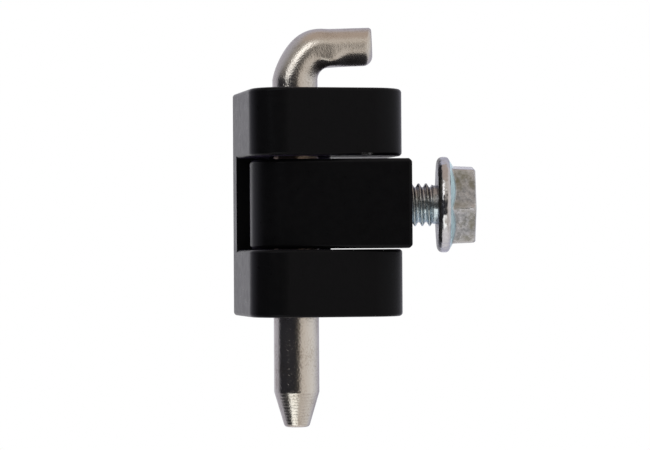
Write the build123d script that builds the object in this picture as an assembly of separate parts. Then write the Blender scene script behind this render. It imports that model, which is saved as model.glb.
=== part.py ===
from build123d import *
import os
from math import cos, pi, radians, sin, tan

# Corner hinge with a lift-out pin, in millimetres.
# The origin lies on the door leaf's mounting face, straight behind the hinge axis, at mid height.
# +X runs along the mounting face to the right, +Y points out of it towards the door, +Z is up the pin.

# Hinge pin: round bar, bent over at the top into a flattened leg and tapered at the bottom
PIN_DIAMETER = 6.2
PIN_CLEARANCE = 0.05
PIN_STAND = 1.4
PIN_REACH_BELOW = 15.1
PIN_TAPER_LENGTH = 4.8
PIN_TAPER_ANGLE = 16.5
PIN_TIP_CHAMFER = 0.4
BEND_INNER_RADIUS = 1.8
BEND_ANGLE = 87.7
BEND_WAVE = 0.19
BEND_WAVE_FADE = 8
BEND_SECTIONS = 9
LEG_THICKNESS = 5.25
LEG_WIDTH = 6.8
LEG_REACH = 10.8
LEG_TURN = -2.0
LEG_END_SKEW = 11.0
LEG_TOP_ROUNDING = 0.4
LEG_BOTTOM_ROUNDING = 1.4

# Door leaf: two knuckles joined by a web at the back
LEAF_HEIGHT = 31.0
KNUCKLE_HEIGHT = 9.15
LEFT_WALL = 3.85
FRONT_WALL = 4.25
RIGHT_REACH = 14.2
WEB_THICKNESS = 2.5
WEB_REACH = 6.5
FRONT_CORNER_RADIUS = 4.7
LEAF_EDGE_RADIUS = 0.5
NOTCH_EDGE_CHAMFER = 0.3
BORE_CHAMFER = 0.3

# Tapped holes for the door's screws, one behind each knuckle
DOOR_SCREW_CORE = 5.0
DOOR_SCREW_DEPTH = 10.0
DOOR_SCREW_FROM_AXIS = 9.0
HOLE_CHAMFER = 0.5
DRILL_POINT_ANGLE = 118.0

# Frame leaf: one knuckle between the other two, with an arm to the right
FRAME_KNUCKLE_WALL = 3.1
PLAY_ABOVE = 0.45
PLAY_BELOW = 0.12
WEB_GAP = 0.65
ARM_OVERHANG = 1.6
FRAME_CORNER_RADIUS = 0.5
FRAME_EDGE_CHAMFER = 0.4
REST_SWING = -12.0

# Flange bolt: M6, standing part-way out of the arm's end
THREAD_DIAMETER = 6.0
THREAD_CLEARANCE = 0.06
BOLT_LENGTH = 10.0
BOLT_STAND_OFF = 3.55
BOLT_BELOW_MIDDLE = 0.15
BOLT_HOLE_WALL = 0.4
NECK_DIAMETER = 5.3
NECK_LENGTH = 0.5
THREAD_TIP_CHAMFER = 0.6
FLANGE_DIAMETER = 13.1
FLANGE_THICKNESS = 1.75
FLANGE_EDGE_CHAMFER = 0.5
FLANGE_SEAT_CHAMFER = 0.5
FLANGE_CONE_ANGLE = 30.0
HEAD_HEIGHT = 5.1
HEX_ACROSS_FLATS = 10.2
HEX_DRAFT = 2.0
HEX_TURN = -24.0
HEX_CORNER_CUT = 0.25
HEX_CORNER_CUT_ANGLE = 30.0
HEAD_DISH_DIAMETER = 7.0
HEAD_DISH_DEPTH = 0.5

# Sizes that follow from the ones above
PIN_RADIUS = PIN_DIAMETER / 2
BORE_RADIUS = PIN_RADIUS + PIN_CLEARANCE
FRAME_KNUCKLE_RADIUS = BORE_RADIUS + FRAME_KNUCKLE_WALL
LEFT_REACH = BORE_RADIUS + LEFT_WALL
AXIS_DEPTH = FRAME_KNUCKLE_RADIUS + WEB_GAP + WEB_THICKNESS
FRONT_DEPTH = AXIS_DEPTH + BORE_RADIUS + FRONT_WALL
HALF_HEIGHT = LEAF_HEIGHT / 2
NOTCH_HEIGHT = LEAF_HEIGHT - 2 * KNUCKLE_HEIGHT
KNUCKLE_MIDDLE = HALF_HEIGHT - KNUCKLE_HEIGHT / 2
ARM_HEIGHT = NOTCH_HEIGHT - PLAY_ABOVE - PLAY_BELOW
ARM_MIDDLE = (PLAY_BELOW - PLAY_ABOVE) / 2
ARM_REACH = RIGHT_REACH + ARM_OVERHANG
BOLT_HOLE_RADIUS = THREAD_DIAMETER / 2
NEAR = 0.001
FRAME_PLACE = Location((0, -AXIS_DEPTH, ARM_MIDDLE), (0, 0, REST_SWING))
PIN_PLACE = Location((0, -AXIS_DEPTH, 0), (0, 0, LEG_TURN))


def point_depth(radius):
    """Length of the drill point at the bottom of a blind hole."""
    return radius / tan(radians(DRILL_POINT_ANGLE / 2))


def drilled_hole(radius, depth):
    """Blind hole along -Z from a mouth at Z = 0, with a chamfered mouth and a drill point."""
    profile = Polyline(
        (0, 0),
        (radius + HOLE_CHAMFER, 0),
        (radius, -HOLE_CHAMFER),
        (radius, -depth),
        (0, -depth - point_depth(radius)),
        close=True,
    )
    return revolve(Plane.XZ * make_face(profile), Axis.Z)


def through_bore(radius, height):
    """Bore along Z, centred on the origin, with both mouths chamfered."""
    half = height / 2
    profile = Polyline(
        (0, -half),
        (radius + BORE_CHAMFER, -half),
        (radius, -half + BORE_CHAMFER),
        (radius, half - BORE_CHAMFER),
        (radius + BORE_CHAMFER, half),
        (0, half),
        close=True,
    )
    return revolve(Plane.XZ * make_face(profile), Axis.Z)


def rim_edges(block):
    """Edges around a block's top and bottom faces."""
    levels = block.edges().group_by(Axis.Z)
    return levels[0] + levels[-1]


def leaf_block():
    """Outer form of the door leaf: rounded front corners, rounded edges except at the mounting face."""
    width = LEFT_REACH + RIGHT_REACH
    plan = Pos((RIGHT_REACH - LEFT_REACH) / 2, -FRONT_DEPTH / 2) * Rectangle(width, FRONT_DEPTH)
    plan = fillet(plan.vertices().group_by(Axis.Y)[0], FRONT_CORNER_RADIUS)
    block = extrude(plan, HALF_HEIGHT, both=True)
    rims = [edge for edge in rim_edges(block) if edge.center().Y < -NEAR]
    return fillet(rims, LEAF_EDGE_RADIUS)


def leaf_notch():
    """Room between the two knuckles: everything at mid height in front of the web and to its right."""
    room = 2 * (LEFT_REACH + RIGHT_REACH + FRONT_DEPTH)
    web = Pos(WEB_REACH - room / 2, room / 2 - WEB_THICKNESS) * Rectangle(room, room)
    web_corner = web.vertices().group_by(Axis.X)[-1].sort_by(Axis.Y)[0]
    web = fillet(web_corner, LEAF_EDGE_RADIUS)
    return extrude(Rectangle(room, room) - web, NOTCH_HEIGHT / 2, both=True)


def is_notch_rim(edge):
    """True for an edge where the notch opens through an outer wall, and not for one along the web."""
    place = edge.center()
    at_notch = abs(abs(place.Z) - NOTCH_HEIGHT / 2) < NEAR
    along_web = place.Y > -WEB_THICKNESS - NEAR and place.X < WEB_REACH + NEAR
    return at_notch and not along_web


def door_leaf():
    """Casting for the door: two bored knuckles and a web, with a tapped hole behind each knuckle."""
    leaf = leaf_block() - leaf_notch()
    leaf = chamfer(leaf.edges().filter_by(is_notch_rim), NOTCH_EDGE_CHAMFER)
    for level in (KNUCKLE_MIDDLE, -KNUCKLE_MIDDLE):
        leaf -= Pos(0, -AXIS_DEPTH, level) * through_bore(BORE_RADIUS, KNUCKLE_HEIGHT)
        mouth = Pos(DOOR_SCREW_FROM_AXIS, 0, level) * Rot(X=-90)
        leaf -= mouth * drilled_hole(DOOR_SCREW_CORE / 2, DOOR_SCREW_DEPTH)
    return leaf


def frame_leaf():
    """Casting for the frame: round knuckle, square arm and the tapped hole in the arm's end."""
    arm = Pos(ARM_REACH / 2, 0) * Rectangle(ARM_REACH, 2 * FRAME_KNUCKLE_RADIUS)
    arm = fillet(arm.vertices().group_by(Axis.X)[-1], FRAME_CORNER_RADIUS)
    plan = Circle(FRAME_KNUCKLE_RADIUS) + arm
    block = extrude(plan, ARM_HEIGHT / 2, both=True)
    block = chamfer(rim_edges(block), FRAME_EDGE_CHAMFER)
    mouth = Pos(ARM_REACH, 0, -BOLT_BELOW_MIDDLE) * Rot(Y=90)
    hole_depth = ARM_REACH - BORE_RADIUS - BOLT_HOLE_WALL - point_depth(BOLT_HOLE_RADIUS)
    bolt_hole = mouth * drilled_hole(BOLT_HOLE_RADIUS, hole_depth)
    return FRAME_PLACE * (block - through_bore(BORE_RADIUS, ARM_HEIGHT) - bolt_hole)


def pin_shaft():
    """Straight part of the pin, from its chamfered tip up to the start of the bend."""
    top = HALF_HEIGHT + PIN_STAND
    bottom = -HALF_HEIGHT - PIN_REACH_BELOW
    tip_radius = PIN_RADIUS - PIN_TAPER_LENGTH * tan(radians(PIN_TAPER_ANGLE))
    profile = Polyline(
        (0, bottom),
        (tip_radius, bottom),
        (PIN_RADIUS, bottom + PIN_TAPER_LENGTH),
        (PIN_RADIUS, top),
        (0, top),
        close=True,
    )
    shaft = revolve(Plane.XZ * make_face(profile), Axis.Z)
    return chamfer(shaft.edges().sort_by(Axis.Z)[0], PIN_TIP_CHAMFER)


def bend_wave(share):
    """Change of the bar's thickness along the bend: drawn thinner early, full and square late."""
    return -BEND_WAVE * sin(2 * pi * share) * (1 - share**BEND_WAVE_FADE)


def bend_section(share):
    """Section of the bent bar, from the full round at share 0 to the flattened leg at share 1."""
    thickness = PIN_DIAMETER + (LEG_THICKNESS - PIN_DIAMETER) * share + bend_wave(share)
    width = PIN_DIAMETER + (LEG_WIDTH - PIN_DIAMETER) * share
    angle = radians(BEND_ANGLE * share)
    centre_radius = BEND_INNER_RADIUS + thickness / 2
    bend_centre_x = PIN_RADIUS + BEND_INNER_RADIUS
    bend_centre_z = HALF_HEIGHT + PIN_STAND
    outward = Vector(-cos(angle), 0, sin(angle))
    along = Vector(sin(angle), 0, cos(angle))
    centre = Vector(bend_centre_x, 0, bend_centre_z) + outward * centre_radius
    return Plane(origin=centre, x_dir=outward, z_dir=along) * Ellipse(thickness / 2, width / 2)


def pin_leg():
    """Flattened leg beyond the bend, cropped a little askew and rounded more below than above."""
    root = bend_section(1)
    angle = radians(BEND_ANGLE)
    along = Vector(sin(angle), 0, cos(angle))
    upward = Vector(-cos(angle), 0, sin(angle))
    crop = Vector(sin(radians(LEG_END_SKEW)), cos(radians(LEG_END_SKEW)), 0)
    outward = crop.cross(upward)
    length = (LEG_REACH - root.center().X) / along.X
    end = root.center() + along * length
    leg = extrude(root, length + LEG_WIDTH, dir=along)
    leg = split(leg, bisect_by=Plane(origin=end, z_dir=outward), keep=Keep.BOTTOM)
    leg = fillet(leg.faces().sort_by(Axis.X)[-1].edges(), LEG_TOP_ROUNDING)
    lower_corner = end - upward * (LEG_THICKNESS / 2)
    corner_plane = Plane(origin=lower_corner, x_dir=outward, z_dir=outward.cross(upward))
    rounding = LEG_BOTTOM_ROUNDING
    square = Pos(-rounding / 2, rounding / 2) * Rectangle(rounding, rounding)
    spandrel = square - Pos(-rounding, rounding) * Circle(rounding)
    return leg - extrude(corner_plane * spandrel, LEG_WIDTH, both=True)


def hinge_pin():
    """Lift-out pin: tapered shaft, bend that flattens the bar, and leg."""
    bend = loft([bend_section(step / (BEND_SECTIONS - 1)) for step in range(BEND_SECTIONS)])
    return PIN_PLACE * (pin_shaft() + bend + pin_leg())


def bolt_body():
    """Turned form of the bolt along +Z: shank below the flange's bearing face at Z = 0, cone above it."""
    shank_radius = BOLT_HOLE_RADIUS - THREAD_CLEARANCE
    flange_radius = FLANGE_DIAMETER / 2
    flat_radius = HEX_ACROSS_FLATS / 2
    cone_foot = flange_radius - FLANGE_EDGE_CHAMFER
    cone_top = FLANGE_THICKNESS + (cone_foot - flat_radius) * tan(radians(FLANGE_CONE_ANGLE))
    profile = Polyline(
        (0, -BOLT_LENGTH),
        (shank_radius - THREAD_TIP_CHAMFER, -BOLT_LENGTH),
        (shank_radius, -BOLT_LENGTH + THREAD_TIP_CHAMFER),
        (shank_radius, -NECK_LENGTH - (shank_radius - NECK_DIAMETER / 2)),
        (NECK_DIAMETER / 2, -NECK_LENGTH),
        (NECK_DIAMETER / 2, 0),
        (flange_radius - FLANGE_SEAT_CHAMFER, 0),
        (flange_radius, FLANGE_SEAT_CHAMFER),
        (flange_radius, FLANGE_THICKNESS - FLANGE_EDGE_CHAMFER),
        (cone_foot, FLANGE_THICKNESS),
        (flat_radius, cone_top),
        (0, cone_top),
        close=True,
    )
    return revolve(Plane.XZ * make_face(profile), Axis.Z)


def bolt_hex():
    """Hexagon of the bolt head, slightly drafted, with its end corners cut and a shallow dish on top."""
    rise = HEAD_HEIGHT - FLANGE_THICKNESS
    hexagon = RegularPolygon(HEX_ACROSS_FLATS / 2, 6, major_radius=False)
    prism = Pos(Z=FLANGE_THICKNESS) * extrude(hexagon, rise, taper=HEX_DRAFT)
    corner_radius = HEX_ACROSS_FLATS / 2 / cos(pi / 6) - rise * tan(radians(HEX_DRAFT))
    cut_radius = corner_radius - HEX_CORNER_CUT
    cut_fall = (FLANGE_DIAMETER - cut_radius) * tan(radians(HEX_CORNER_CUT_ANGLE))
    profile = Polyline(
        (0, 0),
        (FLANGE_DIAMETER, 0),
        (FLANGE_DIAMETER, HEAD_HEIGHT - cut_fall),
        (cut_radius, HEAD_HEIGHT),
        (HEAD_DISH_DIAMETER / 2, HEAD_HEIGHT),
        (0, HEAD_HEIGHT - HEAD_DISH_DEPTH),
        close=True,
    )
    return prism & revolve(Plane.XZ * make_face(profile), Axis.Z)


def flange_bolt():
    """Bolt in its hole in the arm's end, its flange held off the end by the room for a frame's sheet."""
    bolt = bolt_body() + Rot(Z=HEX_TURN) * bolt_hex()
    seat = Pos(ARM_REACH + BOLT_STAND_OFF, 0, -BOLT_BELOW_MIDDLE)
    return FRAME_PLACE * (seat * Rot(Y=90) * bolt)


os.makedirs("parts", exist_ok=True)
export_step(door_leaf(), "parts/door_leaf.step")
export_step(frame_leaf(), "parts/frame_leaf.step")
export_step(hinge_pin(), "parts/hinge_pin.step")
export_step(flange_bolt(), "parts/flange_bolt.step")
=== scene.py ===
from functools import partial
from math import cos, pi, radians, sin, tan

import bmesh
import bpy
import numpy as np
from bpy.props import FloatProperty, FloatVectorProperty, IntProperty, PointerProperty
from bpy.types import Operator, Panel, PropertyGroup
from mathutils import Matrix, Vector


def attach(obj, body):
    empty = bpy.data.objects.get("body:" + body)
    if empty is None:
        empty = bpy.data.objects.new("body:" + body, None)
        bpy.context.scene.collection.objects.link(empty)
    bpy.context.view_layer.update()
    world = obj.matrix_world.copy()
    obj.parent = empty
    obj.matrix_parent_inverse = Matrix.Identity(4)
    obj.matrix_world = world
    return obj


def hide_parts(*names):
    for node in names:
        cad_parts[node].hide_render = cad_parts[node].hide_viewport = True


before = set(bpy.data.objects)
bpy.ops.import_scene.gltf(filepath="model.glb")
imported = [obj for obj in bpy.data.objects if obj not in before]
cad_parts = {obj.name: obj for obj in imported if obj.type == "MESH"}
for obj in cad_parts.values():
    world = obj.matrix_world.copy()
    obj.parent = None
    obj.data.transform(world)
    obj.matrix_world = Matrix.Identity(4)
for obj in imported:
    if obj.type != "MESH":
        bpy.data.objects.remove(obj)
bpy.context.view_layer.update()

bl_info = {
    "name": "Corner Hinge",
    "version": (1, 0, 0),
    "blender": (4, 5, 0),
    "location": "View3D > Sidebar > Hinge",
    "description": "Builds the looks of a corner hinge with a lift-out pin around its packed solids",
    "category": "Object",
}

MM = 0.001
MICRON = 0.001 * MM
TURN = 2 * pi
FRONT = (0, -1, 0)

# Where the solids have the hinge axis and the bolt, and how the frame leaf stands at rest
AXIS_DEPTH = 9.4 * MM
BOLT_LEVEL = -0.315 * MM
REST_SWING = radians(-12.0)

# Castings: what counts as flat, which chamfers are rounded and how far (in millimetres)
FLAT_WITHIN = radians(0.4)
RIM_ANGLES = (radians(38.0), radians(52.0))
RIM_SOFTNESS = 0.13
CASTING_SMOOTH = radians(50.0)

# Pin: how its bend's wave fades, the squarer spot that the bending tool pressed, and its streaks
WAVE_FADE = 8
PRESS_AMOUNT = 3.0
PRESS_MIDDLE = 0.93
PRESS_SPREAD = 0.27
STREAK_STRETCH = 0.06
PIN_SMOOTH = radians(50.0)

# Bolt head: steps around it, how sharply its surfaces meet, the film on its parts (on the seat also painted
# shade) and the wear of its corners
HEAD_AROUND = 360
HEAD_SMOOTH = radians(40.0)
CORNER_SHARPNESS = 26.0 / MM
CONE_SHARPNESS = 9.0 / MM
END_ROUNDING = 0.22 * MM
CUT_FADE = 6
RING_SPACING = 1.15
FACING = 0.3
FILM_EDGE = 0.08 * MM
UNFILMED_TOP_EDGE = 0.05
SEAT_FILM_AND_SHADE = 2.6
RIM_FILM = 0.3
END_FILM = 0.4
WEAR, WEAR_GAIN = 0.6, 0.4
WEAR_POWER, WEAR_POWER_LOSS = 4.0, 2.4

# Thread: points of its sheet, where its flanks start and how long they are (as shares of half a pitch), where
# the neck has gone over into it (as a share of the neck), and the light painted on it: its upper side duller
# and darker as painted shade under the arm and the flange, its underside paler and bluer as painted light
THREAD_AROUND = 121
THREAD_ALONG = 261
ROOT_SHARE = 0.2
FLANK_SHARE = 0.64
NECK_FADE = 1.5
AT_TIP = 0.1 * MICRON
UNDERSIDE_START = 0.35
UNDERSIDE_PAINTED_LIGHT = 0.5
UPPER_PAINTED_SHADE = 0.55

# Finishes: depth of one unit of bump, and where their local marks lie, a painted sheen and painted shade
# among them
RELIEF = 0.012 * MM
CHIP_X = 8.4 * MM
CHIP_Z = 6.46 * MM
CHIP_X_FADE = (0.6 * MM, 0.8 * MM)
CHIP_Z_FADE = (0.14 * MM, 0.22 * MM)
CHIP_FRONT = (-16.4 * MM, -16.2 * MM)
# Height over which the uppermost face turns to the lighter coat of the painted sheen
TOP_SHEEN_FADE = (15.46 * MM, 15.49 * MM)
# Heights over which the oil stain and painted shade of the gaps fade out along the pin
OIL_AND_SHADE_FADE = (7.0 * MM, 10.0 * MM)
WORKED_FADE = (15.0 * MM, 19.0 * MM)
TIP_FADE = (-26.1 * MM, -25.7 * MM)
TIP_RING = 0.42 * MM

# Room round the hinge, by compass: 0.25 is in front, 0.5 at the right, 0.75 behind
HORIZON = (
    (0.0, (0.025, 0.025, 0.03)),
    (0.200, (0.022, 0.022, 0.026)),
    (0.237, (0.065, 0.06, 0.055)),
    (0.256, (0.13, 0.115, 0.10)),
    (0.280, (0.65, 0.59, 0.53)),
    (0.34, (0.70, 0.65, 0.60)),
    (0.464, (0.80, 0.78, 0.76)),
    (0.55, (0.64, 0.64, 0.68)),
    (0.75, (0.66, 0.65, 0.72)),
    (0.925, (0.46, 0.45, 0.50)),
    (0.95, (0.025, 0.025, 0.03)),
)
UPPER_WALLS = (
    (0.0, (0.30, 0.28, 0.26)),
    (0.20, (0.46, 0.42, 0.37)),
    (0.28, (0.68, 0.61, 0.54)),
    (0.50, (0.70, 0.66, 0.63)),
    (0.75, (0.66, 0.65, 0.72)),
    (0.95, (0.42, 0.41, 0.44)),
    (1.0, (0.30, 0.28, 0.26)),
)
TABLE = (
    (0.0, (0.06, 0.06, 0.06)),
    (0.080, (0.08, 0.08, 0.08)),
    (0.102, (1.45, 1.44, 1.36)),
    (0.205, (1.40, 1.39, 1.30)),
    (0.255, (0.58, 0.52, 0.46)),
    (0.50, (0.66, 0.63, 0.61)),
    (0.75, (0.66, 0.65, 0.70)),
    (0.93, (0.40, 0.39, 0.42)),
    (1.0, (0.06, 0.06, 0.06)),
)
CEILING = (0.50, 0.41, 0.35)

# Heights of a direction over which the table, the upper walls and the ceiling take over from the horizon,
# and how straight back a mirrored direction points where it meets the white backdrop
TABLE_FADE = (-0.42, -0.52)
UPPER_FADE = (0.20, 0.52)
CEILING_FADE = (0.75, 0.95)
BACKDROP_FADE = (0.80, 0.98)
FLOOR_AROUND = 96
FLOOR_FADE = (0.1, 0.75)
SENSOR_WIDTH = 36.0


def length(name, about, millimetres):
    """A size, kept in metres."""
    return FloatProperty(name=name, description=about, default=millimetres * MM, unit="LENGTH", precision=5)


def degrees(name, about, value):
    """An angle, kept in radians."""
    return FloatProperty(name=name, description=about, default=radians(value), subtype="ANGLE")


def watts(name, about, value):
    """A lamp's power."""
    return FloatProperty(name=name, description=about, default=value, unit="POWER")


def tone(name, about, *value):
    """A linear colour."""
    return FloatVectorProperty(
        name=name, description=about, default=value, size=3, min=0.0, max=1.0, subtype="COLOR"
    )


class PinSizes(PropertyGroup):
    """Sizes of the bent pin"""

    radius: length("Radius", "Half of the bar's diameter", 3.1)
    top: length("Bend Start", "Height where the shaft goes over into the bend", 16.9)
    bottom: length("Tip", "Height of the tip's end", -30.6)
    taper: length("Taper", "Length of the tapered tip", 4.8)
    taper_angle: degrees("Taper Angle", "Slope of the tip's side", 16.5)
    tip_rounding: length("Tip Rounding", "Rounding of the tip's end", 0.5)
    inner_radius: length("Bend Radius", "Inner radius of the bend", 1.8)
    bend_angle: degrees("Bend Angle", "Angle that the leg is bent through", 87.7)
    wave: length("Bend Wave", "How far the bar is thinner early and fuller late in the bend", 0.19)
    leg_thickness: length("Leg Thickness", "Height of the flattened leg", 5.245)
    leg_width: length("Leg Width", "Width of the flattened leg", 6.8)
    leg_reach: length("Leg Reach", "Distance from the hinge axis to the leg's end", 10.8)
    leg_turn: degrees("Leg Turn", "Direction of the leg about the hinge axis", -2.0)
    end_skew: degrees("End Skew", "How far the leg's end is cropped off square", 11.0)
    end_top: length("Upper End Rounding", "Rounding of the leg's end at its top", 0.45)
    end_bottom: length("Lower End Rounding", "Rounding of the leg's end at its underside", 1.4)
    around: IntProperty(name="Steps Around", description="Faces around the bar", default=112, min=24)


class BoltSizes(PropertyGroup):
    """Sizes of the flange bolt"""

    seat: length("Seat", "Distance from the hinge axis to the flange's bearing face", 19.35)
    neck_radius: length("Neck Radius", "Half of the neck's diameter", 2.65)
    neck: length("Neck", "Length of the plain neck below the flange", 0.5)
    flange_radius: length("Flange Radius", "Half of the flange's diameter", 6.55)
    flange_thickness: length("Flange Thickness", "Height of the flange's rim", 1.75)
    seat_rounding: length("Seat Rounding", "Rounding of the rim towards the bearing face", 0.75)
    rim_rounding: length("Rim Rounding", "Rounding of the rim towards the cone", 0.6)
    cone_foot: length("Cone Foot", "Radius of the cone at the flange's thickness", 6.05)
    cone_angle: degrees("Cone Angle", "Slope of the flange's upper side", 30.0)
    head: length("Head Height", "Height of the head above its bearing face", 5.1)
    flat_radius: length("Flat Radius", "Half of the width across flats", 5.1)
    draft: degrees("Hexagon Draft", "Slope of the hexagon's sides", 2.0)
    hex_turn: degrees("Hexagon Turn", "Turn of the hexagon about the bolt", -24.0)
    corner_cut: length("Corner Cut", "How far the hexagon's end corners are cut back", 0.25)
    dish_radius: length("Dish Radius", "Half of the end dish's diameter", 3.5)
    dish_depth: length("Dish Depth", "Depth of the dish in the head's end", 0.5)
    crest_radius: length("Thread Crest", "Outer radius of the thread", 2.94)
    root_radius: length("Thread Root", "Inner radius of the thread", 2.42)
    pitch: length("Pitch", "Distance from one thread to the next", 1.0)
    shank: length("Shank", "Length of the shank below the flange", 10.0)
    tip_chamfer: length("Tip Chamfer", "Chamfer of the shank's end", 0.6)


class FinishColours(PropertyGroup):
    """Colours of the finishes"""

    coat: tone("Coat", "Black coat on the castings", 0.0052, 0.0053, 0.0060)
    coat_light: tone("Coat Haze", "Lighter cloud in the black coat", 0.0058, 0.0059, 0.0066)
    coat_top_sheen: tone("Top Face Sheen", "Coat of the uppermost face, painted lighter as a sheen for the pin's leg to mirror", 0.022, 0.022, 0.025)
    steel: tone("Steel", "Drawn steel of the pin", 0.70, 0.67, 0.63)
    steel_dark: tone("Steel Streak", "Darker streaks in the drawn steel", 0.56, 0.52, 0.47)
    steel_oil_and_shade: tone("Oiled and Shaded Steel", "Oil stain, with painted shade, where the frame leaf turns on the pin", 0.20, 0.145, 0.11)
    zinc: tone("Zinc", "Bright zinc plating of the bolt", 0.72, 0.73, 0.77)
    zinc_dull: tone("Dull Zinc", "Dull spots in the plating, zinc bared by chips, and painted shade on the seat and the thread's upper side", 0.24, 0.25, 0.265)
    zinc_warm: tone("Warm Zinc", "Yellowish film on the plating", 0.25, 0.245, 0.185)
    zinc_blue: tone("Blue Zinc", "Bluish film on the flange's cone, and on the thread's underside as painted light", 0.62, 0.88, 1.0)


class StudioSettings(PropertyGroup):
    """Camera, floor and light"""

    distance: length("Camera Distance", "Distance from the camera to the hinge axis", 340.0)
    height: length("Camera Height", "Height of the camera", -6.68)
    azimuth: degrees("Azimuth", "How far left of straight in front the camera stands", 11.464)
    pan: degrees("Pan", "Camera's turn past the axis", 0.675)
    tilt: degrees("Tilt", "Camera's upward tilt", 0.62)
    roll: degrees("Roll", "Camera's roll", -0.365)
    focal: FloatProperty(
        name="Focal Length", description="Focal length for a 36 mm wide frame, in millimetres", default=137.4
    )
    floor: length("Floor", "Height of the floor", -120.0)
    floor_radius: length("Floor Radius", "Radius of the floor", 140.0)
    key: watts("Top Light", "Power of the lamp overhead", 0.75)
    window: watts("Window Light", "Power of the lamp at the upper left", 0.15)


class HingeProps(PropertyGroup):
    """All settings of the hinge"""

    pin: PointerProperty(type=PinSizes)
    bolt: PointerProperty(type=BoltSizes)
    colours: PointerProperty(type=FinishColours)
    studio: PointerProperty(type=StudioSettings)


def settings():
    """Settings kept in the scene."""
    return bpy.context.scene.corner_hinge


def add(tree, kind, **values):
    """Make a node, setting its properties and its inputs by name."""
    made = tree.nodes.new(kind)
    for key, value in values.items():
        if hasattr(made, key):
            setattr(made, key, value)
        else:
            made.inputs[key].default_value = value
    return made


def feed(tree, socket, value):
    """Set a socket to a number, or link it to another socket."""
    if isinstance(value, (int, float)):
        socket.default_value = value
    else:
        tree.links.new(value, socket)


def calc(tree, kind, *values):
    """Math node on sockets or numbers."""
    made = tree.nodes.new("ShaderNodeMath")
    made.operation = kind
    for socket, value in zip(made.inputs, values):
        feed(tree, socket, value)
    return made.outputs["Value"]


def weighted(tree, *terms):
    """Sum of values, each times its weight."""
    products = [calc(tree, "MULTIPLY", value, weight) for value, weight in terms]
    total = products[0]
    for product in products[1:]:
        total = calc(tree, "ADD", total, product)
    return total


def remap(tree, value, old, new=(0.0, 1.0), smooth=False):
    """Carry a value from one range to another, and hold it there."""
    made = tree.nodes.new("ShaderNodeMapRange")
    made.interpolation_type = "SMOOTHSTEP" if smooth else "LINEAR"
    for key, number in zip(("Value", "From Min", "From Max", "To Min", "To Max"), (value, *old, *new)):
        feed(tree, made.inputs[key], number)
    return made.outputs["Result"]


def axes_of(tree, vector):
    """X, Y and Z of a vector."""
    made = tree.nodes.new("ShaderNodeSeparateXYZ")
    tree.links.new(vector, made.inputs["Vector"])
    return made.outputs["X"], made.outputs["Y"], made.outputs["Z"]


def noise(tree, vector, scale, detail=3.0, roughness=0.55):
    """Noise with so many cells to a metre."""
    made = add(tree, "ShaderNodeTexNoise", Scale=scale, Detail=detail, Roughness=roughness)
    tree.links.new(vector, made.inputs["Vector"])
    return made.outputs["Fac"]


def blend_colours(tree, factor, first, second):
    """Mix two colours, each a socket or three numbers."""
    made = tree.nodes.new("ShaderNodeMix")
    made.data_type = "RGBA"
    tree.links.new(factor, made.inputs["Factor"])
    for socket, value in zip([s for s in made.inputs if s.type == "RGBA"], (first, second)):
        if isinstance(value, bpy.types.NodeSocket):
            tree.links.new(value, socket)
        else:
            socket.default_value = (*value, 1.0)
    return next(s for s in made.outputs if s.type == "RGBA")


def bump(tree, shader, height):
    """Fine relief in a finish."""
    made = add(tree, "ShaderNodeBump", Strength=1.0, Distance=RELIEF)
    tree.links.new(height, made.inputs["Height"])
    tree.links.new(made.outputs["Normal"], shader.inputs["Normal"])


def start_material(name):
    """New material with its tree, its shader and Object coordinates."""
    material = bpy.data.materials.new(name)
    material.use_nodes = True
    tree = material.node_tree
    shader = tree.nodes["Principled BSDF"]
    place = tree.nodes.new("ShaderNodeTexCoord").outputs["Object"]
    return material, tree, shader, place


def coat_material():
    """Black powder coat: fine orange peel, faint haze, a chipped edge, and an uppermost face painted lighter
    as a sheen that the pin's leg mirrors.
    """
    name = "black_powder_coat"
    if name in bpy.data.materials:
        return bpy.data.materials[name]
    colours = settings().colours
    material, tree, shader, place = start_material(name)
    shader.inputs["Specular IOR Level"].default_value = 0.085
    shader.inputs["Specular Tint"].default_value = (0.84, 0.88, 1.0, 1.0)
    shader.inputs["Sheen Weight"].default_value = 0.1
    shader.inputs["Sheen Roughness"].default_value = 0.3
    shader.inputs["Sheen Tint"].default_value = (0.65, 0.55, 1.0, 1.0)
    haze = noise(tree, place, 900.0)
    peel = noise(tree, place, 3200.0, detail=1.0)
    cloud = remap(tree, haze, (0.35, 0.68), smooth=True)
    colour = blend_colours(tree, cloud, colours.coat, colours.coat_light)
    x, y, z = axes_of(tree, place)
    chips = remap(tree, noise(tree, place, 4400.0, detail=1.0), (0.44, 0.50), smooth=True)
    for axis, middle, fade in ((x, CHIP_X, CHIP_X_FADE), (z, CHIP_Z, CHIP_Z_FADE)):
        away = calc(tree, "ABSOLUTE", calc(tree, "SUBTRACT", axis, middle))
        chips = calc(tree, "MULTIPLY", chips, remap(tree, away, fade, (1.0, 0.0)))
    chips = calc(tree, "MULTIPLY", chips, remap(tree, y, CHIP_FRONT, (1.0, 0.0)))
    colour = blend_colours(tree, chips, colour, colours.zinc_dull)
    # Painted sheen: the uppermost face is made lighter so that the underside of the pin's leg mirrors a paler
    # band
    colour = blend_colours(tree, remap(tree, z, TOP_SHEEN_FADE), colour, colours.coat_top_sheen)
    tree.links.new(colour, shader.inputs["Base Color"])
    tree.links.new(remap(tree, haze, (0.3, 0.7), (0.27, 0.33)), shader.inputs["Roughness"])
    bump(tree, shader, peel)
    return material


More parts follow.
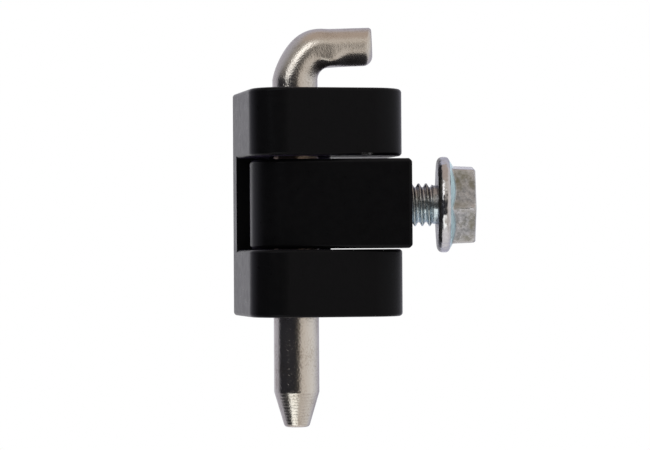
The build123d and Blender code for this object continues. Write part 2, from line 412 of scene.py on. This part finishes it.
def steel_material():
    """Drawn steel: grain, streaks and pits, an oil stain darkened further as painted shade in the gaps beside
    the frame leaf, a rougher bend and rings turned on the tip.
    """
    name = "drawn_steel"
    if name in bpy.data.materials:
        return bpy.data.materials[name]
    colours = settings().colours
    material, tree, shader, place = start_material(name)
    shader.inputs["Metallic"].default_value = 1.0
    shader.inputs["Specular Tint"].default_value = (0.62, 0.61, 0.68, 1.0)
    bar = add(tree, "ShaderNodeAttribute", attribute_name="along_bar").outputs["Vector"]
    streak = noise(tree, bar, 1300.0, roughness=0.6)
    cloud = noise(tree, place, 420.0, detail=4.0, roughness=0.6)
    grain = noise(tree, place, 4200.0, detail=2.0, roughness=0.6)
    pits = remap(tree, noise(tree, place, 3300.0, detail=1.0), (0.62, 0.76), (0.0, 0.6), smooth=True)
    wear = weighted(tree, (streak, 0.2), (cloud, 0.4), (grain, 0.4))
    bright = remap(tree, wear, (0.38, 0.52), smooth=True)
    colour = blend_colours(tree, bright, colours.steel_dark, colours.steel)
    level = axes_of(tree, place)[2]
    # Oil stain and painted shade: the pin is darker round the frame leaf, where it shows in the gaps between
    # the knuckles
    stain_and_shade = remap(tree, calc(tree, "ABSOLUTE", level), OIL_AND_SHADE_FADE, (0.9, 0.0), smooth=True)
    colour = blend_colours(tree, stain_and_shade, colour, colours.steel_oil_and_shade)
    tree.links.new(colour, shader.inputs["Base Color"])
    worked = remap(tree, level, WORKED_FADE, (0.0, 0.1), smooth=True)
    drawn = remap(tree, wear, (0.35, 0.65), (0.2, 0.13))
    tree.links.new(calc(tree, "ADD", worked, drawn), shader.inputs["Roughness"])
    ring = calc(tree, "SINE", calc(tree, "MULTIPLY", level, TURN / TIP_RING))
    on_tip = remap(tree, level, TIP_FADE, (0.3, 0.0))
    bump(tree, shader, weighted(tree, (grain, 2.5), (cloud, 3.0), (ring, on_tip), (pits, -1.0)))
    return material


def zinc_material():
    """Zinc plating: bright and uneven, dull spots, a yellowish film on the hexagon, a bluish film on the
    cone, and painted shade on the seat and the thread's upper side with a paler, bluish thread underside as
    painted light.
    """
    name = "zinc_plating"
    if name in bpy.data.materials:
        return bpy.data.materials[name]
    colours = settings().colours
    material, tree, shader, place = start_material(name)
    shader.inputs["Specular Tint"].default_value = (0.66, 0.65, 0.72, 1.0)
    # The dull film also carries painted shade, and the bluish film also the painted light on the thread's
    # underside
    side = add(tree, "ShaderNodeAttribute", attribute_name="dull_film_and_shade").outputs["Fac"]
    blue_film_and_lit_underside = add(tree, "ShaderNodeAttribute", attribute_name="blue_film_and_lit_underside").outputs["Fac"]
    spot = noise(tree, place, 1700.0, detail=5.0, roughness=0.65)
    film = noise(tree, place, 420.0)
    wave = noise(tree, place, 850.0, detail=1.0)
    mottled = remap(tree, spot, (0.36, 0.6), (1.0, 0.45))
    dull = calc(tree, "MULTIPLY", mottled, remap(tree, side, (0.0, 1.0), (0.15, 1.0)))
    warm = calc(tree, "MULTIPLY", remap(tree, film, (0.42, 0.6), (0.0, 0.9), smooth=True), dull)
    colour = blend_colours(tree, dull, colours.zinc, colours.zinc_dull)
    colour = blend_colours(tree, warm, colour, colours.zinc_warm)
    colour = blend_colours(tree, blue_film_and_lit_underside, colour, colours.zinc_blue)
    tree.links.new(colour, shader.inputs["Base Color"])
    tree.links.new(remap(tree, blue_film_and_lit_underside, (0.0, 1.0), (1.0, 0.25)), shader.inputs["Metallic"])
    tree.links.new(remap(tree, dull, (0.0, 1.0), (0.15, 0.42)), shader.inputs["Roughness"])
    swell = remap(tree, side, (0.0, 1.0), (14.0, 3.0))
    bump(tree, shader, weighted(tree, (wave, swell), (spot, 2.0)))
    return material


def make_piece(name, points, faces, material, body, smooth_angle):
    """Build a mesh, smooth up to an angle, and finish it as a piece."""
    mesh = bpy.data.meshes.new(name)
    mesh.from_pydata([tuple(map(float, p)) for p in points], [], [tuple(map(int, f)) for f in faces])
    mesh.validate()
    mesh.shade_smooth()
    mesh.set_sharp_from_angle(angle=smooth_angle)
    return finish_piece(name, mesh, material, body)


def finish_piece(name, mesh, material, body):
    """Link a mesh as a piece that rides on a body and stands for its CAD node, which has the same name."""
    piece = bpy.data.objects.new(name, mesh)
    bpy.context.scene.collection.objects.link(piece)
    mesh.materials.clear()
    mesh.materials.append(material)
    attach(piece, body)
    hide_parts(body)
    return piece


def store(mesh, name, kind, key, values):
    """Keep a value for every point of a mesh."""
    layer = mesh.attributes.new(name, kind, "POINT")
    layer.data.foreach_set(key, np.asarray(values, np.float32).ravel())


def ring_angles(count):
    """Even angles around a ring."""
    return np.arange(count) / count * TURN


def moved(points, place):
    """Points carried to a place."""
    return np.asarray(points) @ np.array(place.to_3x3()).T + np.array(place.translation)


def merged_solid(node):
    """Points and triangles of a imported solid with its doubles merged."""
    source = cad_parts[node].data
    points = np.empty(len(source.vertices) * 3)
    source.vertices.foreach_get("co", points)
    source.calc_loop_triangles()
    corners = np.empty(len(source.loop_triangles) * 3, np.int64)
    source.loop_triangles.foreach_get("vertices", corners)
    grid = np.round(points.reshape(-1, 3) / MICRON).astype(np.int64)
    single, inverse = np.unique(grid, axis=0, return_inverse=True)
    triangles = inverse.reshape(-1)[corners].reshape(-1, 3)
    good = np.all(triangles != np.roll(triangles, -1, axis=1), axis=1)
    return single * MICRON, triangles[good]


def softened(points, triangles):
    """Join a casting's flat faces again and round off its 45-degree chamfers."""
    solid = bmesh.new()
    corners = [solid.verts.new(point / MM) for point in points]
    for triangle in triangles:
        solid.faces.new([corners[index] for index in triangle])
    bmesh.ops.dissolve_limit(solid, angle_limit=FLAT_WITHIN, verts=solid.verts, edges=solid.edges)
    low, high = RIM_ANGLES
    rims = [
        edge for edge in solid.edges
        if edge.is_manifold and edge.is_convex and low < edge.calc_face_angle() < high
    ]
    bmesh.ops.bevel(
        solid, geom=rims, offset=RIM_SOFTNESS, offset_type="OFFSET", segments=2, profile=0.5, affect="EDGES",
        clamp_overlap=False,
    )
    if not all(edge.is_manifold for edge in solid.edges):
        raise RuntimeError("a softened casting is open")
    bmesh.ops.triangulate(solid, faces=solid.faces)
    solid.verts.index_update()
    soft_points = np.array([corner.co for corner in solid.verts]) * MM
    soft_faces = [[corner.index for corner in face.verts] for face in solid.faces]
    solid.free()
    return soft_points, soft_faces


def weigh_normals(piece):
    """Keep broad faces flat up to their roundings."""
    modifier = piece.modifiers.new("even_faces", "WEIGHTED_NORMAL")
    modifier.keep_sharp = True
    modifier.weight = 100
    evaluated = piece.evaluated_get(bpy.context.evaluated_depsgraph_get())
    mesh = bpy.data.meshes.new_from_object(evaluated)
    piece.modifiers.remove(modifier)
    old = piece.data
    piece.data = mesh
    bpy.data.meshes.remove(old)


class HINGE_OT_cast_leaves(Operator):
    """Build the two black-coated castings"""

    bl_idname = "corner_hinge.cast_leaves"
    bl_label = "Cast Leaves"

    def execute(self, context):
        for node, name in (("door_leaf", "door_leaf_casting"), ("frame_leaf", "frame_leaf_casting")):
            points, faces = softened(*merged_solid(node))
            piece = make_piece(name, points, faces, coat_material(), node, CASTING_SMOOTH)
            weigh_normals(piece)
        return {"FINISHED"}


def tube(rings, cap_start, cap_end):
    """Points and faces of a tube of rings, with a centre point closing each end."""
    count, around = rings.shape[:2]
    index = np.arange(count * around).reshape(count, around)
    after = np.roll(index, -1, axis=1)
    faces = np.stack([index[:-1], after[:-1], after[1:], index[1:]], axis=-1).reshape(-1, 4).tolist()
    points = rings.reshape(-1, 3).tolist()
    for ring, centre, flip in ((0, cap_start, True), (count - 1, cap_end, False)):
        points.append(list(centre))
        hub = len(points) - 1
        for a, b in zip(index[ring], after[ring]):
            faces.append((b, a, hub) if flip else (a, b, hub))
    return points, faces


def pin_rings(pin):
    """Rings of the bent bar from its tip to the leg's end, their way along the bar, and the end's middle."""
    angles = ring_angles(pin.around)
    across, sideways = np.cos(angles), np.sin(angles)
    rings, along = [], []

    def pressed(step):
        """Section of the bar, squarer on its inner side late in the bend where the tool pressed it."""
        near = np.exp(-(((step - PRESS_MIDDLE) / PRESS_SPREAD) ** 2))
        power = 2 / (2 + PRESS_AMOUNT * near * (across < 0))
        return np.sign(across) * np.abs(across) ** power, np.sign(sideways) * np.abs(sideways) ** power

    def ring(centre, outward, half_thick, half_wide, travel, step=-1.0):
        thick, wide = pressed(step)
        rings.append(centre + np.outer(thick * half_thick, outward) + np.outer(wide * half_wide, FRONT))
        along.append(travel)

    def round_ring(level, radius):
        ring(np.array((0, 0, level)), (-1.0, 0.0, 0.0), radius, radius, level - pin.bottom)

    # Tip: flat end, rounded edge and taper
    tip = pin.tip_rounding
    tip_radius = pin.radius - pin.taper * tan(pin.taper_angle)
    core_radius = tip_radius - tip * (1 / cos(pin.taper_angle) - tan(pin.taper_angle))
    for step in np.linspace(0.2, 1.0, 5):
        round_ring(pin.bottom, core_radius * step)
    for angle in np.linspace(-pi / 2, -pin.taper_angle, 9)[1:]:
        foot, foot_radius = pin.bottom + tip + tip * sin(angle), core_radius + tip * cos(angle)
        round_ring(foot, foot_radius)
    taper_top = pin.bottom + pin.taper
    for step in np.linspace(0.0, 1.0, 30)[1:]:
        round_ring(foot + (taper_top - foot) * step, foot_radius + (pin.radius - foot_radius) * step)

    # Shaft
    for step in np.linspace(0.0, 1.0, 90)[1:]:
        round_ring(taper_top + (pin.top - taper_top) * step, pin.radius)

    # Bend: the section goes over from round to flat
    travel = pin.top - pin.bottom
    bend_x = pin.radius + pin.inner_radius
    half_thick, half_wide = pin.leg_thickness / 2, pin.leg_width / 2
    for step in np.linspace(0.0, 1.0, 49)[1:]:
        wave = -pin.wave / 2 * sin(TURN * step) * (1 - step**WAVE_FADE)
        thick = pin.radius + (half_thick - pin.radius) * step + wave
        wide = pin.radius + (half_wide - pin.radius) * step
        angle = pin.bend_angle * step
        reach = pin.inner_radius + thick
        root = np.array((bend_x - cos(angle) * reach, 0, pin.top + sin(angle) * reach))
        ring(root, (-cos(angle), 0, sin(angle)), thick, wide, travel + bend_x * angle, step)

    # Leg: straight on to its skewed end
    travel += bend_x * pin.bend_angle
    heading = np.array((sin(pin.bend_angle), 0, cos(pin.bend_angle)))
    outward = np.array((-cos(pin.bend_angle), 0, sin(pin.bend_angle)))
    leg = (pin.leg_reach - root[0]) / heading[0]
    rounding = pin.end_bottom + (pin.end_top - pin.end_bottom) * (0.5 + 0.5 * across)
    for step in np.linspace(0.0, 1.0, 24)[1:]:
        reach = (leg - sideways * half_wide * tan(pin.end_skew) - rounding) * step
        past_bend = 1 + leg * step / (bend_x * pin.bend_angle)
        ring(root, outward, half_thick, half_wide, travel + leg * step, past_bend)
        rings[-1] += np.outer(reach, heading)

    # End: rounded edge and flat face
    slope = np.stack([across * half_wide, sideways * half_thick], axis=1)
    slope /= np.linalg.norm(slope, axis=1)[:, None]
    for angle in np.linspace(0.0, pi / 2, 11)[1:]:
        inward = rounding * (1 - cos(angle))
        thick = across * half_thick - slope[:, 0] * inward
        wide = sideways * half_wide - slope[:, 1] * inward
        reach = leg - wide * tan(pin.end_skew) - rounding * (1 - sin(angle))
        rings.append(root + np.outer(thick, outward) + np.outer(wide, FRONT) + np.outer(reach, heading))
        along.append(travel + leg)
    last = rings[-1]
    middle = last.mean(axis=0)
    for step in (0.75, 0.5, 0.25):
        rings.append(middle + (last - middle) * step)
        along.append(travel + leg)
    return np.array(rings), np.array(along), middle


class HINGE_OT_bend_pin(Operator):
    """Build the drawn steel pin with its flattened bend and turned tip"""

    bl_idname = "corner_hinge.bend_pin"
    bl_label = "Bend Pin"

    def execute(self, context):
        pin = settings().pin
        rings, along, end = pin_rings(pin)
        points, faces = tube(rings, (0, 0, pin.bottom), end)
        turn = Matrix.Translation((0, -AXIS_DEPTH, 0)) @ Matrix.Rotation(pin.leg_turn, 4, "Z")
        placed = moved(points, turn)
        piece = make_piece(
            "hinge_pin_bar", placed, faces, steel_material(), "hinge_pin", PIN_SMOOTH
        )
        angles = ring_angles(pin.around)
        bar = np.empty((len(along), pin.around, 3))
        bar[..., 0] = np.cos(angles) * pin.radius
        bar[..., 1] = np.sin(angles) * pin.radius
        bar[..., 2] = along[:, None] * STREAK_STRETCH
        caps = ((0, 0, 0), (0, 0, along[-1] * STREAK_STRETCH))
        store(piece.data, "along_bar", "FLOAT_VECTOR", "vector", np.vstack([bar.reshape(-1, 3), caps]))
        return {"FINISHED"}


def bolt_place(bolt):
    """Place of the bolt: its own +Z runs from the arm's end out to the head."""
    swing = Matrix.Translation((0, -AXIS_DEPTH, BOLT_LEVEL)) @ Matrix.Rotation(REST_SWING, 4, "Z")
    return swing @ Matrix.Translation((bolt.seat, 0, 0)) @ Matrix.Rotation(pi / 2, 4, "Y")


def head_rings(bolt):
    """Rings of the bolt head from the neck round the flange to the middle of the end dish, with the amounts
    of dull film, strongest on the seat as painted shade, and of bluish film on them."""
    angles = ring_angles(HEAD_AROUND)
    spread = np.stack([np.cos(angles - bolt.hex_turn - pi / 6 - k * pi / 3) for k in range(6)])
    rings, side, blue_film_and_lit_underside = [], [], []

    def hexagon(level):
        """Radius of the hexagon around, with slightly softened corners."""
        flat = bolt.flat_radius - (level - bolt.flange_thickness) * tan(bolt.draft)
        sides = np.where(spread > FACING, flat / np.maximum(spread, FACING), 1.0)
        corners = np.exp(-(sides - flat) * CORNER_SHARPNESS).sum(axis=0)
        return -np.log(corners) / CORNER_SHARPNESS + flat

    def corner_fall(hexed):
        """How far the cut corners lie below the head's end."""
        return np.maximum(0.0, hexed - cut) * tan(pi / 6)

    def ring(radius, level, on_side=0.0, in_hollow=0.0):
        reach = np.broadcast_to(radius, HEAD_AROUND)
        high = np.broadcast_to(level, HEAD_AROUND)
        rings.append(np.stack([reach * np.cos(angles), reach * np.sin(angles), high], axis=1))
        side.append(np.broadcast_to(on_side, HEAD_AROUND))
        blue_film_and_lit_underside.append(np.broadcast_to(in_hollow, HEAD_AROUND))

    # Bearing face and rim of the flange; the bearing face gets the dull film at its strongest, which is
    # partly its dull rough finish and partly painted shade of the black arm it sits against
    flange, seat, rounding = bolt.flange_radius, bolt.seat_rounding, bolt.rim_rounding
    inset = bolt.cone_foot - (flange - rounding)
    middle = bolt.flange_thickness - (rounding - sin(bolt.cone_angle) * inset) / cos(bolt.cone_angle)
    for step in np.linspace(0.0, 1.0, 14):
        ring(bolt.neck_radius + (flange - seat - bolt.neck_radius) * step, 0.0, SEAT_FILM_AND_SHADE)
    for angle in np.linspace(0.0, pi / 2, 9)[1:]:
        ring(flange - seat + seat * sin(angle), seat - seat * cos(angle), SEAT_FILM_AND_SHADE * cos(angle) ** 2)
    for level in np.linspace(seat, middle, 6)[1:]:
        ring(flange, level)
    for angle in np.linspace(0.0, pi / 2 - bolt.cone_angle, 10)[1:]:
        ring(flange - rounding + rounding * cos(angle), middle + rounding * sin(angle))

    # Cone running into the hexagon, which is worn at its corners and left without film, so brighter, on its
    # uppermost face
    start = middle + rounding * cos(bolt.cone_angle)
    foot = flange - rounding + rounding * sin(bolt.cone_angle)
    cut = hexagon(bolt.head).max() - bolt.corner_cut
    unfilmed_top_face = np.clip((spread[3] - cos(pi / 6)) / UNFILMED_TOP_EDGE, 0.0, 1.0)
    for step in np.linspace(0.0, 1.0, 80)[1:]:
        level = start + (bolt.head - END_ROUNDING - start) * step**RING_SPACING
        cone = foot - (level - start) / tan(bolt.cone_angle)
        hexed = hexagon(level)
        larger = np.maximum(cone, hexed)
        both = np.exp((cone - larger) * CONE_SHARPNESS) + np.exp((hexed - larger) * CONE_SHARPNESS)
        radius = larger + np.log(both) / CONE_SHARPNESS
        on_hexagon = 1.0 / (1.0 + np.exp(-(hexed - cone) / FILM_EDGE))
        to_corner = np.clip((hexed - hexed.min()) / (hexed.max() - hexed.min()), 0.0, 1.0)
        worn = (WEAR + WEAR_GAIN * step) * to_corner ** (WEAR_POWER - WEAR_POWER_LOSS * step)
        filmed = on_hexagon * (1.0 - worn) * (1.0 - unfilmed_top_face)
        ring(radius, level - corner_fall(hexed) * step**CUT_FADE, filmed, 1.0 - on_hexagon)

    # Rounded end with its dish
    last = hexagon(bolt.head - END_ROUNDING)
    for angle in np.linspace(0.0, pi / 2, 8)[1:]:
        inward, drop = END_ROUNDING * (1 - cos(angle)), END_ROUNDING * (1 - sin(angle))
        ring(last - inward, bolt.head - drop - corner_fall(last) * cos(angle), RIM_FILM)
    rim = last - END_ROUNDING
    for step in np.linspace(0.0, 1.0, 12)[1:]:
        ring(rim + (bolt.dish_radius - rim) * step, bolt.head, END_FILM)
    for step in np.linspace(0.0, 0.96, 14)[1:]:
        ring(bolt.dish_radius * (1 - step), bolt.head - bolt.dish_depth * step, END_FILM)
    return np.array(rings), np.array(side), np.array(blue_film_and_lit_underside)


class HINGE_OT_forge_bolt_head(Operator):
    """Build the bolt's flange and hexagon"""

    bl_idname = "corner_hinge.forge_bolt_head"
    bl_label = "Forge Bolt Head"

    def execute(self, context):
        bolt = settings().bolt
        rings, side, blue_film_and_lit_underside = head_rings(bolt)
        points, faces = tube(rings, (0, 0, 0), (0, 0, bolt.head - bolt.dish_depth))
        placed = moved(points, bolt_place(bolt))
        piece = make_piece(
            "flange_bolt_head", placed, faces, zinc_material(), "flange_bolt", HEAD_SMOOTH
        )
        store(piece.data, "dull_film_and_shade", "FLOAT", "value", np.append(side.ravel(), (0.0, END_FILM)))
        store(piece.data, "blue_film_and_lit_underside", "FLOAT", "value", np.append(blue_film_and_lit_underside.ravel(), (0.0, 0.0)))
        return {"FINISHED"}


def thread_tree(material):
    """Node tree for a threaded shank: a sheet rolled up and pushed out along a helix."""
    tree = bpy.data.node_groups.new("threaded_shank", "GeometryNodeTree")
    for name in ("Crest Radius", "Root Radius", "Neck Radius", "Pitch", "Length", "Neck", "Chamfer"):
        tree.interface.new_socket(name, in_out="INPUT", socket_type="NodeSocketFloat")
    tree.interface.new_socket("Geometry", in_out="OUTPUT", socket_type="NodeSocketGeometry")
    sizes = tree.nodes.new("NodeGroupInput").outputs
    link = tree.links.new
    do = partial(calc, tree)

    # A flat sheet: X runs once around the shank, Y from its tip up to its seat
    grid = {"Size X": 1.0, "Size Y": 1.0, "Vertices X": THREAD_AROUND, "Vertices Y": THREAD_ALONG}
    sheet = add(tree, "GeometryNodeMeshGrid", **grid)
    turn, rise, _ = axes_of(tree, tree.nodes.new("GeometryNodeInputPosition").outputs["Position"])
    angle = do("MULTIPLY", turn, TURN)
    depth = do("MULTIPLY", do("SUBTRACT", 0.5, rise), sizes["Length"])

    # Radius: thread, plain neck and chamfered tip
    phase = do("FRACT", do("ADD", do("DIVIDE", depth, sizes["Pitch"]), turn))
    wedge = do("MULTIPLY", do("ABSOLUTE", do("SUBTRACT", phase, 0.5)), 2.0)
    flank = do("DIVIDE", do("SUBTRACT", wedge, ROOT_SHARE), FLANK_SHARE)
    flank = do("MINIMUM", do("MAXIMUM", flank, 0.0), 1.0)
    tooth = do("SUBTRACT", sizes["Crest Radius"], sizes["Root Radius"])
    thread = do("ADD", sizes["Root Radius"], do("MULTIPLY", flank, tooth))
    past_neck = remap(tree, depth, (sizes["Neck"], do("MULTIPLY", sizes["Neck"], NECK_FADE)), smooth=True)
    step_up = do("MULTIPLY", past_neck, do("SUBTRACT", thread, sizes["Neck Radius"]))
    to_tip = do("SUBTRACT", sizes["Length"], depth)
    tip_limit = do("ADD", do("SUBTRACT", sizes["Crest Radius"], sizes["Chamfer"]), to_tip)
    radius = do("MINIMUM", do("ADD", sizes["Neck Radius"], step_up), tip_limit)
    closed = do("MULTIPLY", radius, do("SUBTRACT", 1.0, do("LESS_THAN", to_tip, AT_TIP)))

    # The sheet rolled up, sewn together and plated
    place = tree.nodes.new("ShaderNodeCombineXYZ")
    link(do("MULTIPLY", closed, do("COSINE", angle)), place.inputs["X"])
    link(do("MULTIPLY", closed, do("SINE", angle)), place.inputs["Y"])
    link(do("MULTIPLY", depth, -1.0), place.inputs["Z"])
    rolled = tree.nodes.new("GeometryNodeSetPosition")
    link(place.outputs["Vector"], rolled.inputs["Position"])
    chain = (
        sheet,
        rolled,
        add(tree, "GeometryNodeMergeByDistance", Distance=MICRON),
        tree.nodes.new("GeometryNodeSetShadeSmooth"),
        tree.nodes.new("GeometryNodeRealizeInstances"),
        add(tree, "GeometryNodeSetMaterial", Material=material),
        tree.nodes.new("NodeGroupOutput"),
    )
    for source, target in zip(chain, chain[1:]):
        link(source.outputs[0], target.inputs["Geometry"])
    return tree


def grown_mesh(name, tree, values):
    """Plain mesh of a node tree's result."""
    holder = bpy.data.objects.new(name + "_maker", bpy.data.meshes.new(name + "_maker"))
    bpy.context.scene.collection.objects.link(holder)
    modifier = holder.modifiers.new(name, "NODES")
    modifier.node_group = tree
    for item in tree.interface.items_tree:
        if item.item_type == "SOCKET" and item.in_out == "INPUT":
            modifier[item.identifier] = values[item.name]
    bpy.context.view_layer.update()
    evaluated = holder.evaluated_get(bpy.context.evaluated_depsgraph_get())
    mesh = bpy.data.meshes.new_from_object(evaluated)
    mesh.name = name
    old = holder.data
    bpy.data.objects.remove(holder)
    bpy.data.meshes.remove(old)
    if not mesh.polygons:
        raise RuntimeError(name + " came out empty")
    return mesh


class HINGE_OT_roll_thread(Operator):
    """Build the bolt's threaded shank"""

    bl_idname = "corner_hinge.roll_thread"
    bl_label = "Roll Thread"

    def execute(self, context):
        bolt = settings().bolt
        values = {
            "Crest Radius": bolt.crest_radius,
            "Root Radius": bolt.root_radius,
            "Neck Radius": bolt.neck_radius,
            "Pitch": bolt.pitch,
            "Length": bolt.shank,
            "Neck": bolt.neck,
            "Chamfer": bolt.tip_chamfer,
        }
        mesh = grown_mesh("flange_bolt_thread", thread_tree(zinc_material()), values)
        mesh.transform(bolt_place(bolt))
        points = np.empty(len(mesh.vertices) * 3)
        mesh.vertices.foreach_get("co", points)
        # Painted light and shade: the thread's upper side gets the dull film as painted shade under the arm
        # and the flange, its underside the paler bluish film as painted light
        below = np.clip((BOLT_LEVEL - points[2::3]) / bolt.crest_radius + UNDERSIDE_START, 0.0, 1.0)
        store(mesh, "blue_film_and_lit_underside", "FLOAT", "value", UNDERSIDE_PAINTED_LIGHT * below)
        store(mesh, "dull_film_and_shade", "FLOAT", "value", UPPER_PAINTED_SHADE * (1.0 - below))
        finish_piece("flange_bolt_thread", mesh, zinc_material(), "flange_bolt")
        return {"FINISHED"}


def floor_material(studio):
    """Pale floor that fades out to the surround away from the hinge."""
    material, tree, shader, place = start_material("studio_floor")
    shader.inputs["Base Color"].default_value = (0.86, 0.86, 0.86, 1.0)
    shader.inputs["Roughness"].default_value = 0.8
    scale = add(tree, "ShaderNodeMapping", Scale=(1 / studio.floor_radius, 1 / studio.floor_radius, 0.0))
    spread = add(tree, "ShaderNodeTexGradient", gradient_type="SPHERICAL")
    tree.links.new(place, scale.inputs["Vector"])
    tree.links.new(scale.outputs["Vector"], spread.inputs["Vector"])
    clear = tree.nodes.new("ShaderNodeBsdfTransparent")
    mixed = tree.nodes.new("ShaderNodeMixShader")
    tree.links.new(remap(tree, spread.outputs["Fac"], FLOOR_FADE, smooth=True), mixed.inputs["Fac"])
    tree.links.new(clear.outputs["BSDF"], mixed.inputs[1])
    tree.links.new(shader.outputs["BSDF"], mixed.inputs[2])
    tree.links.new(mixed.outputs["Shader"], tree.nodes["Material Output"].inputs["Surface"])
    return material


def compass_ramp(tree, direction, stops):
    """Colours around the compass."""
    compass = add(tree, "ShaderNodeTexGradient", gradient_type="RADIAL")
    tree.links.new(direction, compass.inputs["Vector"])
    walls = tree.nodes.new("ShaderNodeValToRGB")
    tree.links.new(compass.outputs["Fac"], walls.inputs["Fac"])
    ramp = walls.color_ramp
    ramp.elements.remove(ramp.elements[-1])
    ramp.elements[0].position = stops[0][0]
    ramp.elements[0].color = (*stops[0][1], 1.0)
    for position, colour in stops[1:]:
        ramp.elements.new(position).color = (*colour, 1.0)
    return walls.outputs["Color"]


def studio_world():
    """White backdrop behind the hinge, also as it is mirrored, and a room with a dark side in front of it."""
    world = bpy.data.worlds.new("studio_surround")
    bpy.context.scene.world = world
    world.use_nodes = True
    tree = world.node_tree
    direction = tree.nodes.new("ShaderNodeTexCoord").outputs["Generated"]
    _, back, height = axes_of(tree, direction)
    room = compass_ramp(tree, direction, HORIZON)
    for walls, fade in ((TABLE, TABLE_FADE), (UPPER_WALLS, UPPER_FADE)):
        share = remap(tree, height, fade, smooth=True)
        room = blend_colours(tree, share, room, compass_ramp(tree, direction, walls))
    room = blend_colours(tree, remap(tree, height, CEILING_FADE, smooth=True), room, CEILING)
    surround = tree.nodes["Background"]
    tree.links.new(room, surround.inputs["Color"])
    white = add(tree, "ShaderNodeBackground", Color=(1.0, 1.0, 1.0, 1.0), Strength=1.0)
    seen = tree.nodes.new("ShaderNodeLightPath").outputs
    behind = remap(tree, back, BACKDROP_FADE, smooth=True)
    mirrored = calc(tree, "MULTIPLY", seen["Is Glossy Ray"], behind)
    through = calc(tree, "MAXIMUM", seen["Is Camera Ray"], seen["Is Transmission Ray"])
    mixed = tree.nodes.new("ShaderNodeMixShader")
    tree.links.new(calc(tree, "MAXIMUM", through, mirrored), mixed.inputs["Fac"])
    tree.links.new(surround.outputs["Background"], mixed.inputs[1])
    tree.links.new(white.outputs["Background"], mixed.inputs[2])
    tree.links.new(mixed.outputs["Shader"], tree.nodes["World Output"].inputs["Surface"])


def area_lamp(name, place, sideways, target, size, power, colour, mirrored):
    """Rectangular lamp with its long side turned sideways."""
    lamp = bpy.data.lights.new(name, "AREA")
    lamp.shape = "RECTANGLE"
    lamp.size, lamp.size_y = size
    lamp.energy = power
    lamp.color = colour
    holder = bpy.data.objects.new(name, lamp)
    bpy.context.scene.collection.objects.link(holder)
    holder.visible_glossy = mirrored
    back = (Vector(place) - Vector(target)).normalized()
    long_side = Vector(sideways)
    long_side = (long_side - back * long_side.dot(back)).normalized()
    holder.matrix_world = Matrix((long_side, back.cross(long_side), back)).transposed().to_4x4()
    holder.location = place


def photo_camera(studio):
    """Camera at the viewing angle, left of and slightly below the hinge's middle."""
    data = bpy.data.cameras.new("front_camera")
    data.sensor_width = SENSOR_WIDTH
    data.lens = studio.focal
    data.clip_start = 0.01
    data.clip_end = 10.0
    yaw = studio.azimuth + studio.pan
    ahead = Vector((sin(yaw) * cos(studio.tilt), cos(yaw) * cos(studio.tilt), sin(studio.tilt)))
    right = ahead.cross(Vector((0, 0, 1))).normalized()
    up = right.cross(ahead)
    turned_right = right * cos(studio.roll) + up * sin(studio.roll)
    turned_up = up * cos(studio.roll) - right * sin(studio.roll)
    camera = bpy.data.objects.new("front_camera", data)
    bpy.context.scene.collection.objects.link(camera)
    place = Matrix((turned_right, turned_up, -ahead)).transposed().to_4x4()
    place.translation = (
        -sin(studio.azimuth) * studio.distance,
        -cos(studio.azimuth) * studio.distance - AXIS_DEPTH,
        studio.height,
    )
    camera.matrix_world = place
    bpy.context.scene.camera = camera


class HINGE_OT_set_stage(Operator):
    """Build the floor, the light and the camera"""

    bl_idname = "corner_hinge.set_stage"
    bl_label = "Set Stage"

    def execute(self, context):
        studio = settings().studio
        radius = studio.floor_radius
        rim = [(cos(a) * radius, sin(a) * radius, studio.floor) for a in ring_angles(FLOOR_AROUND)]
        mesh = bpy.data.meshes.new("studio_floor")
        mesh.from_pydata(rim, [], [tuple(range(FLOOR_AROUND))])
        mesh.materials.append(floor_material(studio))
        floor = bpy.data.objects.new("studio_floor", mesh)
        context.scene.collection.objects.link(floor)
        studio_world()
        middle = (0, -AXIS_DEPTH, 0.01)
        area_lamp(
            "top_softbox", place=(0.02, -0.03, 0.32), sideways=(1, 0, 0), target=middle, size=(0.26, 0.26),
            power=studio.key, colour=(1.0, 0.99, 0.98), mirrored=False,
        )
        area_lamp(
            "window_softbox", place=(-0.17, -0.21, 0.16), sideways=(0.24, -0.07, 0.18), target=middle,
            size=(0.27, 0.12), power=studio.window, colour=(1.0, 0.99, 0.97), mirrored=True,
        )
        photo_camera(studio)
        context.scene.view_settings.view_transform = "Standard"
        return {"FINISHED"}


class HINGE_PT_builder(Panel):
    """Steps and settings of the hinge"""

    bl_idname = "HINGE_PT_builder"
    bl_label = "Corner Hinge"
    bl_space_type = "VIEW_3D"
    bl_region_type = "UI"
    bl_category = "Hinge"

    def draw(self, context):
        for step in STEPS:
            self.layout.operator(step.bl_idname)
        hinge = context.scene.corner_hinge
        groups = {"Pin": hinge.pin, "Bolt": hinge.bolt, "Finishes": hinge.colours, "Studio": hinge.studio}
        for title, group in groups.items():
            box = self.layout.box()
            box.label(text=title)
            for key in group.__annotations__:
                box.prop(group, key)


STEPS = (
    HINGE_OT_cast_leaves,
    HINGE_OT_bend_pin,
    HINGE_OT_forge_bolt_head,
    HINGE_OT_roll_thread,
    HINGE_OT_set_stage,
)
CLASSES = (PinSizes, BoltSizes, FinishColours, StudioSettings, HingeProps, *STEPS, HINGE_PT_builder)


def register():
    for item in CLASSES:
        bpy.utils.register_class(item)
    bpy.types.Scene.corner_hinge = PointerProperty(type=HingeProps)


def unregister():
    del bpy.types.Scene.corner_hinge
    for item in reversed(CLASSES):
        bpy.utils.unregister_class(item)


def main():
    register()
    bpy.ops.corner_hinge.cast_leaves()
    bpy.ops.corner_hinge.bend_pin()
    bpy.ops.corner_hinge.forge_bolt_head()
    bpy.ops.corner_hinge.roll_thread()
    bpy.ops.corner_hinge.set_stage()


if __name__ == "__main__":
    main()
